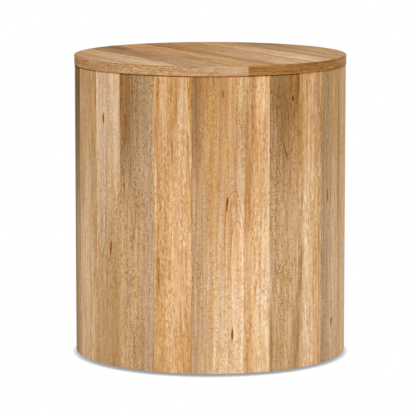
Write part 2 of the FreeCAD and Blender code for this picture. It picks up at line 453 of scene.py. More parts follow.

# %% [markdown]
# ## Arches drawn one by one
#
# Some boards are cut close to the heart, and there a ring comes out as one clear arch, dark
# on its line and pale just inside it. The eye reads these arches first, so each is placed one by
# one. The line is still the cut of a cone: its half width is the ring's radius, and its
# taper says how fast the cone opens, downwards for an arch and upwards for a cup. Dividing by
# the slope keeps the line equally thin at the tip and along the arms.

# %% The arch group
ARCH_LINE = 1.6  # mm

arch, given = open_group("ring_arch", "ShaderNodeTree", {
    "Place": "Vector", "Across": 0.0, "Height": 0.0, "Half width": 12.0, "Taper": 0.15,
    "Way": 1.0, "Arms": 150.0,
}, {"Darkness": "Float", "Inside": "Float"})
arch_mm = given["Place"] * MM_PER_M
shaky = add(arch, "ShaderNodeTexNoise", {
    "Vector": arch_mm * (0.05, 0.05, 0.03), "Scale": 1.0, "Detail": 1.0}, "Color") - (0.5, 0.5, 0.5)
u_mm, _, w_mm = split(arch_mm + shaky * (6, 0, 12))
aside = u_mm - given["Across"]
climb = (w_mm - given["Height"]) * given["Way"]
deep = (climb * given["Taper"] + given["Half width"]).calc("MAXIMUM", 0.0)
radius = hypot(aside, deep).calc("MAXIMUM", 0.01)
slope = hypot(deep * given["Taper"] / radius, aside / radius).calc("MAXIMUM", 0.12)
apart = (radius - given["Half width"]) / slope
line = remap(abs(apart), 0.9 * ARCH_LINE, 0.25 * ARCH_LINE, smooth=True)
pale = remap(abs(apart + 1.6 * ARCH_LINE), 1.2 * ARCH_LINE, 0.0, smooth=True)
arms = remap(climb, given["Arms"] * -1.0, given["Arms"] * -0.4, smooth=True)
add(arch, "NodeGroupOutput", {
    "Darkness": (line + pale * -0.4) * arms, "Inside": remap(apart, 0.0, -2.0) * arms})
print("arch group has", len(arch.nodes), "nodes")

# %% [markdown]
# ## One material for each board
#
# A board is described by its look. `upper` and `lower` are the tones that one meets walking
# across its face from left to right, at its upper and at its lower end, and `blend` says
# between which heights one gives way to the other. `weave` is how far the grain carries one
# tone into the next. The rest are strengths of the grain.
#
# Arches and marks are rows of numbers in mm, parted by semicolons:
#
# - arch: share across, height of its tip, half width, taper, length of its arms, strength,
#   and perhaps the tone that fills it
# - mark: tone, share across, height, half width, half length, strength, and perhaps a tilt
#
# A list of Python calls could say the same, but a row is easier to read and to change.

# %% Read rows, blend and walk through tones
def rows(text):
    """Reads rows of tones and numbers, parted by semicolons."""
    return [[word if word in TONES else float(word) for word in row.split()]
            for row in text.split(";") if row.strip()]


def mix_tones(factor, first, second):
    """A blend of two colours."""
    return add(factor.socket.id_data, "ShaderNodeMix", {"Factor": factor, "A": first, "B": second},
               "Result", data_type="RGBA")


def walk(share, names):
    """The tones across a board, evenly spaced."""
    tones = [linear(TONES[name]) for name in names.split()]
    return ramp(share, [(number / (len(tones) - 1), tone) for number, tone in enumerate(tones)])


def new_material(name):
    """A material with an empty tree."""
    material = bpy.data.materials.new(name)
    material.use_nodes = True
    material.node_tree.nodes.clear()
    return material, material.node_tree


print("rows, mix_tones and walk are ready")

# %% [markdown]
# A look names only what is special about its board. What it leaves out stays at the grain
# group's defaults. Its arches darken the wood on their line, and some are filled with a paler
# tone. Its marks are laid over the tone one after the other, as a finisher would tint them.

# %% From a look to the grain's inputs
HEART = ("Heart across", "Heart depth", "Heart height", "Taper")
LOOK_KEYS = {item.name: item.name.lower().replace(" ", "_")
             for item in grain.interface.items_tree if item.in_out == "INPUT"}


def grain_of(look, width):
    """What a look says of the grain. A share across becomes mm from the board's middle."""
    inputs = {name: look[key] for name, key in LOOK_KEYS.items() if key in look}
    if "heart" in look:
        share, *others = look["heart"]
        inputs.update(zip(HEART, ((share - 0.5) * width / MM, *others)))
    return inputs


print("a look may set:", ", ".join(LOOK_KEYS.values()))

# %% Arches and marks
FILL = 0.6


def draw_arches(tree, place, width, text, tone, darkness):
    """Adds a look's arches to the tone and the darkness."""
    for across, high, half_width, taper, arms, strength, *fill in rows(text):
        curve = run(tree, arch, {
            "Place": place, "Across": (across - 0.5) * width / MM, "Height": high,
            "Half width": half_width, "Taper": abs(taper), "Way": math.copysign(1.0, taper),
            "Arms": arms})
        darkness = darkness + curve["Darkness"] * strength
        for fill_tone in fill:
            tone = mix_tones(curve["Inside"] * FILL, tone, linear(TONES[fill_tone]))
    return tone, darkness


def draw_marks(tree, place, width, text, tone):
    """Lays a look's marks over the tone, one after the other."""
    for mark_tone, across, high, half_width, half_length, strength, *tilt in rows(text):
        mark = run(tree, fleck, {
            "Place": place, "Across": (across - 0.5) * width / MM, "Height": high,
            "Half width": half_width, "Half length": half_length, "Tilt": sum(tilt)})
        tone = mix_tones(mark["Fleck"] * strength, tone, linear(TONES[mark_tone]))
    return tone


print("arches and marks are read from rows")

# %% [markdown]
# The lacquer is matt, the same everywhere but a little drier in the pores. A fine bump lets
# the fibres stand up and opens the pores.

# %% The lacquered surface
MATT, DRY_PORES, SPECULAR = 0.7, 0.15, 0.02
FIBRE_HEIGHT, RELIEF = 0.05 * MM, 0.35


def finish_wood(tree, colour, pattern):
    """The lacquered surface: fibres stand up a little, pores are open."""
    normal = add(tree, "ShaderNodeBump", {
        "Height": pattern["Fibre"] * 0.5 - pattern["Pores"], "Strength": RELIEF,
        "Distance": FIBRE_HEIGHT}, "Normal")
    shader = add(tree, "ShaderNodeBsdfPrincipled", {
        "Base Color": colour, "Roughness": pattern["Pores"] * DRY_PORES + MATT,
        "Normal": normal, "Specular IOR Level": SPECULAR}, "BSDF")
    add(tree, "ShaderNodeOutputMaterial", {"Surface": shader})


print("lacquer with a roughness of", MATT)

# %% [markdown]
# The material itself goes through the board in a fixed order: the two walks of tones,
# drifting with the grain, then the arches, a fine line of painted shade at the seams and a
# darker painted shadow under the top, where its overhang shades the drum, and the marks.
# Last, the grain deepens the tone. Mixing in a dark brown would do that too, but it turns
# pale wood muddy. In wood a darker place is a deeper, redder one, so the grain is a power:
# each of red, green and blue keeps its own share of light for every step of darkness.
# Golden boards keep a little more red.

# %% A board's material
DARK_GRAIN = (0.53, 0.4, 0.26)  # the light that is left of red, green and blue
WARM_GRAIN = (0.61, 0.4, 0.25)
MORE_RED, MORE_BLUE = 0.12, -0.7  # what a warm place gains
PLAIN_WEAVE, PLAIN_BLEND = 20.0, (0.18, 0.46)
BEND_ACROSS, BEND_ALONG, BLEND_WEAVE = 0.3, 0.008, 0.25  # how far tones follow the grain
# Painted shade: how far from a seam and below the top the wood is darkened, and how dark.
SEAM_SHADE_ZONE, SEAM_SHADE_STRENGTH = (0.9 * MM, 0.2 * MM), 0.05  # where the line fades and is full, its darkness
JOINT_SHADE_ZONE, JOINT_SHADE_STRENGTH = (2.2 * MM, 1.2 * MM), 1.6


def board_wood(name, place_of, width, look):
    """The material of one board. place_of(tree) gives the (u, v, w) place in metres."""
    material, tree = new_material(name)
    place = place_of(tree)
    u, _, w = split(place)
    pattern = run(tree, grain, dict(grain_of(look, width), Place=place))
    wander, warmth, fibre = (pattern[name] for name in ("Wander", "Warmth", "Fibre"))

    weave = look.get("weave", PLAIN_WEAVE)
    drift = wander * BEND_ACROSS + warmth * weave + fibre * (weave / 2)
    share = remap(drift * MM + u, -width / 2, width / 2)
    level = w + wander * BEND_ALONG + warmth * BLEND_WEAVE
    upper_part = remap(level, *look.get("blend", PLAIN_BLEND), smooth=True)
    tone = mix_tones(upper_part, walk(share, look["lower"]), walk(share, look["upper"]))

    tone, darkness = draw_arches(tree, place, width, look.get("arches", ""), tone, pattern["Darkness"])
    # Painted shade: a faint line along each seam, and a dark painted shadow just under the top, where
    # its overhang shades the drum. A look's line sets the strength of that shadow on its stave.
    if "joint" in look:
        darkness = darkness + remap(width / 2 - abs(u), *SEAM_SHADE_ZONE, 0.0, SEAM_SHADE_STRENGTH)
        darkness = darkness + remap(look["joint"] - w, *JOINT_SHADE_ZONE, 0.0, look.get("line", JOINT_SHADE_STRENGTH))
    tone = draw_marks(tree, place, width, look.get("marks", ""), tone)

    kept_light = join(*(left ** darkness for left in look.get("grain", DARK_GRAIN)))
    warm = join(warmth * MORE_RED + 1.0, 1.0, warmth * MORE_BLUE + 1.0)
    finish_wood(tree, tone * kept_light * warm, pattern)
    return material


print("a board's material takes its place, its width and its look")

# %% [markdown]
# ## The staves: one rule, many boards
#
# Every stave follows one rule. Its face is an arc of the drum, its back is flat, its edges
# are mitred towards the axis, and its arrises are eased. The lipping follows it too, except
# that its back is round. Cut boxes would do for one stave, but not for 23 of uneven width, so
# one Geometry Nodes tree makes them all, and only the numbers change.
#
# The tree starts from a box of grid points and treats its three directions as *along the
# arc*, *into the wood* and *up*. Two small groups do the work. `spread` spaces the points
# so that some of them fall close to each edge, and `ease` rounds an edge: any point farther
# than the ease radius from the box's core is pulled back to that radius.

# %% Group: spread the points, with some near each end
spread, given = open_group("spread", "GeometryNodeTree", {
    "Share": 0.0, "Length": 1.0, "First zone": 0.1, "Last zone": 0.1, "Zone share": 0.1,
}, {"Place": "Float"})
share, near = given["Share"], given["Zone share"]
far = 1.0 - near
middle = given["Length"] - given["First zone"] - given["Last zone"]
total = remap(share, 0.0, near, 0.0, given["First zone"])
total = total + remap(share, near, far, 0.0, middle)
total = total + remap(share, far, 1.0, 0.0, given["Last zone"])
add(spread, "NodeGroupOutput", {"Place": total})
print("spread:", len(spread.nodes), "nodes")

# %% Group: ease the edge between a face and its neighbour
TINY = 1e-7

ease, given = open_group("ease", "GeometryNodeTree", {
    "Along": 0.0, "Depth": 0.0, "Length": 1.0, "First radius": 0.001, "Last radius": 0.001,
}, {"Along": "Float", "Depth": "Float"})
past_middle = given["Along"].calc("GREATER_THAN", given["Length"] * 0.5)
radius = remap(past_middle, 0.0, 1.0, given["First radius"], given["Last radius"])
core_along = given["Along"].calc("MAXIMUM", radius).calc("MINIMUM", given["Length"] - radius)
core_depth = given["Depth"].calc("MAXIMUM", radius)
out_along = given["Along"] - core_along
out_depth = given["Depth"] - core_depth
pull = (radius / hypot(out_along, out_depth).calc("MAXIMUM", TINY)).calc("MINIMUM", 1.0)
add(ease, "NodeGroupOutput", {
    "Along": out_along * pull + core_along, "Depth": out_depth * pull + core_depth})
print("ease:", len(ease.nodes), "nodes")

# %% [markdown]
# Now the tree itself. Its grid has three steps in each eased edge and longer steps between.
# First the points are spread and eased as if the board were straight, and then they are
# wrapped round the drum's axis, with the back flat or round as a switch says.

# %% The bent board: points on a box, spread and eased
EDGE_STEPS, DEPTH_STEPS, UP_STEPS = 3, 9, 15
ROUND_ZONE = 0.1  # share of the steps round the drum that lies in each eased edge
BACK_ZONE = 0.5 * MM

bent, given = open_group("bent_board", "GeometryNodeTree", {
    "First bearing": 0.0, "Last bearing": 0.3, "Bottom": 0.0, "Top": 0.5,
    "Face radius": 0.2285, "Thickness": 0.016, "Flat back": 1.0,
    "Seam ease": 0.0003, "Bottom ease": 0.001, "Top ease": 0.001, "Steps round": 31,
    "Rabbet radius": 0.0, "Rabbet height": 0.0, "Wood": "Material",
}, {"Geometry": "Geometry"})
box = add(bent, "GeometryNodeMeshCube", {
    "Size": (1, 1, 1), "Vertices X": given["Steps round"],
    "Vertices Y": DEPTH_STEPS + 1, "Vertices Z": UP_STEPS + 1}, "Mesh")
unit = add(bent, "GeometryNodeInputPosition", out="Position") + (0.5, 0.5, 0.5)
unit_along, unit_in, unit_up = split(unit)
face_width = (given["Last bearing"] - given["First bearing"]) * given["Face radius"]
height = given["Top"] - given["Bottom"]


def spread_out(share, length, first, last, zone_share):
    """Where a grid point lies along one direction of the board."""
    return run(bent, spread, {"Share": share, "Length": length, "First zone": first,
                              "Last zone": last, "Zone share": zone_share})["Place"]


def eased(along, depth, length, first, last):
    """A point near an edge, pulled in to the edge's radius."""
    return run(bent, ease, {"Along": along, "Depth": depth, "Length": length,
                            "First radius": first, "Last radius": last})


seam_ease, bottom_ease, top_ease = given["Seam ease"], given["Bottom ease"], given["Top ease"]
along = spread_out(unit_along, face_width, seam_ease, seam_ease, ROUND_ZONE)
inward = spread_out(unit_in, given["Thickness"], bottom_ease.calc("MAXIMUM", top_ease), BACK_ZONE,
                    EDGE_STEPS / DEPTH_STEPS)
upward = spread_out(unit_up, height, bottom_ease, top_ease, EDGE_STEPS / UP_STEPS)
seams = eased(along, inward, face_width, seam_ease, seam_ease)
ends = eased(upward, seams["Depth"], height, bottom_ease, top_ease)
print("a stave's grid has", DEPTH_STEPS, "by", UP_STEPS, "steps into and up the wood")

# %% [markdown]
# Wrapping turns the length along the arc into a bearing and the depth into a radius. On a flat
# back the wood is thinnest in the middle of the stave and thicker towards its seams, which
# the cosine of the bearing gives.

# %% Wrap the eased box round the drum's axis
SAME_POINT = 1e-6

face = given["Face radius"]
bearing = given["First bearing"] + seams["Along"] / face
half_way = (given["First bearing"] + given["Last bearing"]) * 0.5
round_back = face - given["Thickness"]
flat_back = round_back / (bearing - half_way).calc("COSINE")
wall = face - remap(given["Flat back"], 0.0, 1.0, round_back, flat_back)
reach_out = face - wall * (ends["Depth"] / given["Thickness"])
wrapped = join(reach_out * bearing.calc("SINE"), reach_out * bearing.calc("COSINE") * -1.0,
               given["Bottom"] + ends["Along"])
shaped = add(bent, "GeometryNodeSetPosition", {"Geometry": box, "Position": wrapped}, "Geometry")
shaped = add(bent, "GeometryNodeMergeByDistance", {
    "Geometry": shaped, "Distance": SAME_POINT}, "Geometry")
print("bent board wraps its box with", len(bent.nodes), "nodes so far")

# %% [markdown]
# Each end of the drum holds a ring frame, let into a rabbet. A cooper cuts it round the
# finished drum with one pass of a tool. The grid could carry the step itself, but its corners
# would have to follow the rabbet's curve across a flat back, so the tree does as the cooper
# does: a cylinder is taken off the back of the stave at both ends. The lipping has no rabbet,
# and a switch leaves it out.

# %% Cut the rabbets
RABBET_FACETS = 240


def rabbet_cutter(middle_height):
    """A cylinder that takes the wood inside the rabbet's radius, centred at a height."""
    cylinder = add(bent, "GeometryNodeMeshCylinder", {
        "Vertices": RABBET_FACETS, "Radius": given["Rabbet radius"],
        "Depth": given["Rabbet height"] * 2.0}, "Mesh")
    centre = join(0.0, 0.0, middle_height)
    return add(bent, "GeometryNodeTransform", {
        "Geometry": cylinder, "Translation": centre}, "Geometry")


cutters = add(bent, "GeometryNodeJoinGeometry")
for level in (given["Bottom"], given["Top"]):
    bent.links.new(rabbet_cutter(level).socket, cutters.inputs[0])
cut = add(bent, "GeometryNodeMeshBoolean", {"Mesh 1": shaped, "Mesh 2": Wire(cutters.outputs[0])},
          "Mesh", operation="DIFFERENCE", solver="MANIFOLD")
chosen = add(bent, "GeometryNodeSwitch", {
    "Switch": given["Rabbet height"].calc("GREATER_THAN", 0.0), "False": shaped, "True": cut},
    "Output", input_type="GEOMETRY")
print("the rabbets are cut on a cylinder of", RABBET_FACETS, "facets")

# %% [markdown]
# The wood's material needs to know where each point lies in its own board, before it was
# bent: how far across, how deep and how high. The tree works that out for every vertex and
# stores it on the mesh as an attribute, `grain`. Sharp edges keep a crease, and the tree ends
# in Realize Instances and Set Material, so that the result is one plain, finished mesh.

# %% Note the grain and finish the tree
SHARP = 0.6  # radians

turned = add(bent, "ShaderNodeVectorRotate", {
    "Vector": add(bent, "GeometryNodeInputPosition", out="Position"), "Angle": half_way * -1.0},
    "Vector", rotation_type="Z_AXIS")
flat_x, flat_y, flat_z = split(turned)
from_middle = flat_x.calc("ARCTAN2", flat_y * -1.0)
grain_place = join(from_middle * face, face - hypot(flat_x, flat_y), flat_z)
result = add(bent, "GeometryNodeStoreNamedAttribute", {
    "Geometry": chosen, "Name": "grain", "Value": grain_place}, "Geometry",
    data_type="FLOAT_VECTOR", domain="POINT")
sharp = add(bent, "GeometryNodeInputMeshEdgeAngle", out="Unsigned Angle").calc("GREATER_THAN", SHARP)
result = add(bent, "GeometryNodeSetShadeSmooth", {
    "Geometry": result, "Shade Smooth": True}, "Geometry", domain="FACE")
result = add(bent, "GeometryNodeSetShadeSmooth", {
    "Geometry": result, "Selection": sharp, "Shade Smooth": False}, "Geometry", domain="EDGE")
result = add(bent, "GeometryNodeRealizeInstances", {"Geometry": result}, "Geometry")
result = add(bent, "GeometryNodeSetMaterial", {
    "Geometry": result, "Material": given["Wood"]}, "Geometry")
add(bent, "NodeGroupOutput", {"Geometry": result})
print("bent board tree has", len(bent.nodes), "nodes")

# %% [markdown]
# A modifier runs the tree on an empty object, and the evaluated result is copied into a plain
# mesh. Then the modifier goes away, the piece rides on the table's one body, and the imported
# piece that it dresses is hidden.


def bent_board(name, sizes, wood, node):
    """Runs the tree once and keeps the result as one plain mesh."""
    piece = bpy.data.objects.new(name, bpy.data.meshes.new(name))
    bpy.context.scene.collection.objects.link(piece)
    modifier = piece.modifiers.new("bent_board", "NODES")
    modifier.node_group = bent
    wanted = dict(sizes, Wood=wood)
    for item in bent.interface.items_tree:
        if item.item_type == "SOCKET" and item.in_out == "INPUT" and item.name in wanted:
            modifier[item.identifier] = wanted[item.name]
    graph = bpy.context.evaluated_depsgraph_get()
    mesh = bpy.data.meshes.new_from_object(piece.evaluated_get(graph))
    piece.modifiers.clear()
    piece.data = mesh
    mesh.name = name
    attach(piece, "root")
    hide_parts(node)
    return piece


def grain_attribute(tree):
    """The (u, v, w) place that the bent board tree wrote on its mesh."""
    return add(tree, "ShaderNodeAttribute", out="Vector", attribute_name="grain")


print("bent_board is ready")

# %% [markdown]
# ## The looks of the staves
#
# Each stave is described as one would see it, going round from the left of the front: the
# tones across its upper end and its lower end, where its heart lies, and what marks it
# carries. A heart is given as its share across, its depth, the height at which the cones
# come to their point, and how fast they widen.
#
# The eye alone judges tones badly, because each looks different beside its neighbours. So the
# tones and most of the faint marks were settled by comparing: patches of a render were measured
# against the same patches of the photograph, and a tone or mark was changed where they differed.

# %% Stave looks, the left half of the front
# In a look, line sets how dark the painted shadow under the top is on that stave.
stave_looks = {
    1: dict(upper="tan toffee biscuit tan amber", lower="rose sand sand sand amber",
        heart=(0.3, 20, 320, 0.05), fibres=1.3, arches="0.47 333 12 0.16 120 0.25",
        marks="""ginger 0.92 405 3.2 80 0.7; ginger 0.94 180 2 80 0.4; straw 0.84 80 3 60 0.6 -0.03;
            clay 0.15 338 5.4 95 0.55"""),
    2: dict(upper="cream petal sand peach sand", lower="rose biscuit biscuit toffee biscuit",
        heart=(0.23, 12, 183, -0.13), line=0.9, blend=(0.14, 0.42), streaks=0.5, fibres=0.9, dashes=1.1,
        curl=0.25, arches="0.23 183 12 -0.13 260 0.45 blush; 0.2 226 7.5 -0.12 150 0.25",
        marks="""gum 0.335 415 2.2 10 0.95 0.02; gum 0.63 201 2 13 0.95 0.08;
            ivory 0.04 330 1.8 130 0.5; petal 0.14 270 3.5 70 0.6; cream 0.03 205 1.8 60 0.7;
            shell 0.65 490 4.4 18 0.7"""),
    3: dict(upper="bark bark moss sage sage", lower="straw rose wheat rose fawn",
        heart=(0.13, 8, 372, -0.1), blend=(0.2, 0.47), streaks=0.6, fibres=0.7, dashes=1.3, speckle=1.2,
        pore_marks=1, curl=0.4,
        arches="""0.1 369 6 -0.22 90 0.45; 0.22 306 9 -0.25 60 0.3; 0.37 222 8 -0.16 90 0.35;
            0.2 167 8 -0.5 30 0.3""",
        marks="""bark 0.45 45 2 40 0.6 -0.1; moss 0.69 40 5 70 0.45; bark 0.42 240 2.2 30 0.4 -0.15;
            toffee 0.15 285 5 70 0.2; caramel 0.08 450 5 55 0.6; gum 0.055 366 1.4 11 0.5 0.14;
            gum 0.07 484 3 11 0.25; toffee 0.08 222 4 40 0.5; sand 0.97 302 2 50 0.5;
            sand 0.82 212 2.2 24 0.5; tan 0.95 492 2.2 16 0.7"""),
    4: dict(upper="ginger honey straw honey amber honey straw straw ginger",
        lower="gold honey gold straw corn corn straw gold amber", heart=(0.5, 60, 0, 0.004), weave=34,
        grain=WARM_GRAIN, streaks=0.6, fibres=0.95, dashes=1.75, speckle=0.45, pore_marks=0.5,
        flame=0.35,
        marks="""straw 0.29 475 5.5 65 0.5; sand 0.78 450 6.5 110 0.5; corn 0.07 285 2.8 75 0.8;
            oak 0.15 168 3 32 0.8; oak 0.018 465 0.9 42 0.8; ginger 0.13 470 4.5 40 0.8;
            corn 0 400 1.6 115 1; corn 0.06 470 1.4 30 0.6; oak 0.61 456 1.4 48 0.75;
            oak 0.505 367 2 24 0.8; corn 0.38 240 3.2 22 0.5 0.1; cream 0.71 244 3.6 42 0.8;
            amber 0.75 60 4 55 0.5 -0.05; corn 0.93 190 4.6 110 0.85; ginger 0.115 190 2.2 26 0.8;
            gold 0.62 54 3.6 46 0.8; straw 0.97 385 2.2 55 0.6; corn 0.88 288 2.4 26 0.6;
            gold 0.62 360 2.6 22 0.6; corn 0.36 114 2.4 24 0.7; cream 0.8 203 2.4 26 0.6;
            cream 0.84 144 2.6 26 0.6; cream 0.47 104 2.4 22 0.6"""),
    5: dict(upper="bark oak amber amber toffee honey toffee biscuit",
        lower="rose rose sand straw peach straw shell ivory", heart=(0.79, 0, 202, 0.15), line=1.1,
        blend=(0.1, 0.48), grain=WARM_GRAIN, fibres=0.7, dashes=1.45, speckle=0.8, pore_marks=0.5,
        curl=0.25, arches="0.8 304 17 0.17 110 0.4 honey; 0.86 256 11 0.17 170 0.4 corn",
        marks="""gum 0.665 283 2 15 0.95 0.1; gum 0.77 70 1.8 11 0.95 0.03; gum 0.59 463 1.4 7 0.7 0.02;
            bark 0.12 440 4 90 0.4; ivory 0.95 182 4.2 105 0.9; gold 1 40 1.6 110 0.7;
            oak 0.3 472 7 38 0.4; straw 0.92 474 7 42 0.6; straw 0.03 290 2.6 60 0.5;
            toffee 0.02 148 1.8 24 0.8; shell 0.57 52 14 36 0.5; straw 0.9 72 3.4 28 0.6;
            shell 0.56 10 20 30 0.9; honey 0.62 255 3.2 86 0.8; bark 0.41 484 2.6 16 0.6;
            cream 0.8 262 2.6 22 0.9; bark 0.16 371 3 26 0.45; peach 0.18 144 2.6 26 0.6;
            shell 0.5 104 3.2 26 0.5; toffee 0.18 62 3.5 30 0.5; honey 0.58 201 3 34 0.5;
            amber 0.63 308 2.6 34 0.6; petal 0.34 23 3.2 28 0.7"""),
}
print("described", len(stave_looks), "staves of the left half")

# %% Stave looks, the right half of the front and its left neighbour
stave_looks.update({
    6: dict(upper="biscuit toffee gold gold straw", lower="straw straw corn cream ivory",
        heart=(0.5, 70, 0, 0.005), weave=30, grain=WARM_GRAIN, streaks=0.55, fibres=1, dashes=2.1,
        speckle=0.55, flame=0.35,
        marks="""oak 0.07 345 1.3 95 0.7; ginger 0.2 325 2 85 0.6; ginger 0.13 335 3.2 100 0.4;
            straw 0 485 3.2 75 0.9; cream 0.05 480 2 18 0.6; ivory 0.58 20 3 24 0.5;
            gold 0.5 268 2 52 0.6; ivory 0.72 218 3 48 0.8; oak 0.3 420 1.6 60 0.5;
            gold 0.08 250 3 45 0.6; ginger 0.03 262 1.6 38 0.7; ginger 0.12 425 2.2 42 0.7;
            ivory 0.5 150 2.6 42 0.5; amber 0.12 40 3 45 0.6; corn 0.68 462 11 34 0.9;
            corn 0.5 425 1.8 26 0.8; corn 0.68 416 1.6 30 0.8 0.03; corn 0.86 428 1.8 24 0.8;
            cream 0.62 130 3 75 0.5 0.16; gold 0.36 120 2.4 70 0.5 0.16"""),
    7: dict(upper="moss bark bark oak clay", lower="rose biscuit wheat wheat rose",
        heart=(0.62, 0, 440, -0.16), blend=(0.2, 0.47), fibres=1, dashes=1.2, speckle=0.9,
        pore_marks=0.95, curl=0.3,
        arches="""0.6 360 11 -0.24 50 0.55; 0.68 415 7 -0.24 45 0.45; 0.5 312 15 -0.22 60 0.25;
            0.35 166 10 -0.5 30 0.4""",
        marks="""caramel 0.82 468 9 62 0.75; umber 0.9 470 3 40 0.5; knot 0.76 452 2.2 4.2 1;
            umber 0.97 490 2.2 35 0.8; tan 0.14 388 5.5 50 0.45; clay 0.94 80 4 62 0.7;
            peach 0.3 122 5 48 0.4; toffee 0.3 246 3 28 0.75; peach 0.3 76 2.6 22 0.6;
            clay 0.56 247 2.4 26 0.6; moss 0.06 50 3 70 0.7; moss 0.86 56 3.4 62 0.75 -0.03;
            honey 0.86 330 6 90 0.4; gum 0.525 366 1.4 14 0.45 -0.33"""),
    8: dict(upper="amber honey straw rose amber", lower="amber shell corn straw straw",
        heart=(0.4, 50, 0, 0.006), line=0.6, weave=26, grain=WARM_GRAIN, streaks=0.7, dashes=2.15,
        speckle=0.5, pore_marks=0.5, flame=0.3, arches="0.3 312 11 0.2 110 0.25",
        marks="""corn 0.035 292 2.4 65 0.7; bark 0.095 172 1.5 45 0.85; oak 0.1 420 1.6 80 0.6;
            oak 0.88 190 2 60 0.6; amber 0.72 372 4.5 38 0.7; gold 0.7 283 3.5 38 0.7;
            gold 0.5 372 3.6 36 0.6; straw 0.9 285 3.4 36 0.6; straw 0.93 470 1.6 30 0.7;
            corn 0.95 300 2 45 0.8; corn 0.95 70 2 60 0.7; cream 0.46 215 2 60 0.5;
            shell 0.46 253 2.4 30 0.5"""),
    9: dict(upper="moss moss toffee toffee tan", lower="fawn fawn blush sand petal",
        heart=(0.66, 0, 202, 0.15), line=0.6,
        arches="0.66 301 12 0.15 200 0.35; 0.68 258 7 0.15 100 0.25",
        marks="""gum 0.335 285 2 13 0.9 0.05; gum 0.6 69 2.4 9 0.8 0.02; moss 0.1 200 4 200 0.4;
            cream 0.96 250 1.6 240 0.5; toffee 0.5 320 6 90 0.5; sage 0.15 460 8 60 0.8;
            fawn 0.95 472 3.2 45 0.6; petal 0.89 192 3.4 75 0.7; toffee 0.4 297 2.8 34 0.6"""),
    10: dict(upper="clay biscuit biscuit biscuit biscuit", lower="honey rose sand sand peach",
        heart=(0.6, 40, 0, 0.006), line=0.6,
        marks="""clay 0.1 330 4 90 0.6; bark 0.04 262 3 45 0.5; sand 0.12 165 4 50 0.4;
            peach 0.1 14 4 30 0.8"""),
    23: dict(upper="sage moss umber umber umber", lower="moss moss moss sage tan",
        heart=(0.4, 12, 300, 0.05), blend=(0.16, 0.46)),
})
print("described", len(stave_looks), "staves of the front")

# %% [markdown]
# The back of the drum is made of the same kinds of board. Five looks are dealt out there so
# that no two neighbours are alike, each time with another seed, so that no two boards have the
# same grain.

# %% Looks for the back
plain_looks = [
    dict(upper="sage moss sage tan sage", lower="tan sage tan rose tan", speckle=1.1, curl=0.3,
        arches="0.3 350 12 -0.15 150 0.6; 0.33 398 6 -0.15 90 0.5"),
    dict(upper="amber honey amber straw honey", lower="honey straw honey amber", weave=30, streaks=1,
        marks="bark 0.3 260 1.6 70 0.6; straw 0.7 350 2 90 0.6"),
    dict(upper="umber bark bark clay", lower="bark clay tan tan", heart=(0.6, 6, 120, 0.08)),
    dict(upper="tan clay tan rose tan honey", lower="rose tan rose straw",
        arches="0.7 260 14 0.15 220 0.6 straw; 0.7 205 7 0.15 130 0.5",
        marks="gum 0.55 300 2 12 0.9 0.05"),
    dict(upper="blush rose blush rose", lower="rose blush tan rose", fibres=1, dashes=1.1,
        arches="0.35 230 13 -0.13 200 0.6 blush; 0.35 275 7 -0.13 120 0.4",
        marks="gum 0.4 150 2 11 0.9 0.06"),
]
for number in range(11, 23):
    stave_looks[number] = dict(plain_looks[(number * 2 + number // 5) % len(plain_looks)])
for number, look in stave_looks.items():
    look.update(seed=number + 0.37, joint=drum_top)
print("described", len(stave_looks), "staves in all")

# %% [markdown]
# ## Making the staves
#
# The staves are of uneven width, so each one's first and last bearing is read from the
# corners of its own model: turned to face the front, its outermost points left and right lie
# on the seams. With those two bearings, the arris and the rabbet, the tree does the rest.

# %% Bearings of the seams
def seam_bearings():
    """Reads the first and last bearing of each stave from the corners of its model."""
    found = {}
    for number in stave_looks:
        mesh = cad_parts[f"stave_{number:02d}"].data
        points = [v.co for v in mesh.vertices if math.hypot(v.co.x, v.co.y) > drum_radius - 1 * MM]
        middle = sum(points, Vector()) / len(points)
        centre = math.atan2(middle.x, -middle.y)
        turn = Matrix.Rotation(-centre, 3, "Z")
        offsets = [math.atan2((turn @ p).x, -(turn @ p).y) for p in points]
        found[number] = (centre + min(offsets), centre + max(offsets))
    return found


seam_at = seam_bearings()
widths = {n: (last - first) * drum_radius for n, (first, last) in seam_at.items()}
print("stave widths in mm:", sorted(round(w / MM) for w in widths.values()))

# %% Make the staves
ARRIS = 0.8 * MM
stave_sizes = {
    "Face radius": drum_radius, "Thickness": 16.0 * MM, "Flat back": 1.0,
    "Bottom": drum_bottom, "Top": drum_top,
    "Seam ease": 0.3 * MM, "Bottom ease": ARRIS, "Top ease": ARRIS, "Steps round": 31,
    "Rabbet radius": 217.5 * MM, "Rabbet height": ring_height,
}
faces = 0
for number, (first, last) in seam_at.items():
    node = f"stave_{number:02d}"
    wood = board_wood("mango_" + node, grain_attribute, widths[number], stave_looks[number])
    sizes = dict(stave_sizes, **{"First bearing": first, "Last bearing": last})
    faces += len(bent_board(node + "_wood", sizes, wood, node).data.polygons)
print("stave faces:", faces)

# %% [markdown]
# ## The lipping
#
# The lipping is a strip of long grain, thin enough to be steamed and bent round the top's
# edge, in three lengths. It is the same bent board as a stave, long and low and with a round
# back. Its grain lies level, so its look is read along the arc: the material swaps the
# directions before the grain is drawn, and its blend runs round the table.

# %% Lipping looks and pieces
def level_grain(tree):
    """The same place, turned so that the board's length runs round the table."""
    u, v, w = split(grain_attribute(tree))
    return join(w - (drum_top + table_height) / 2, v, u)


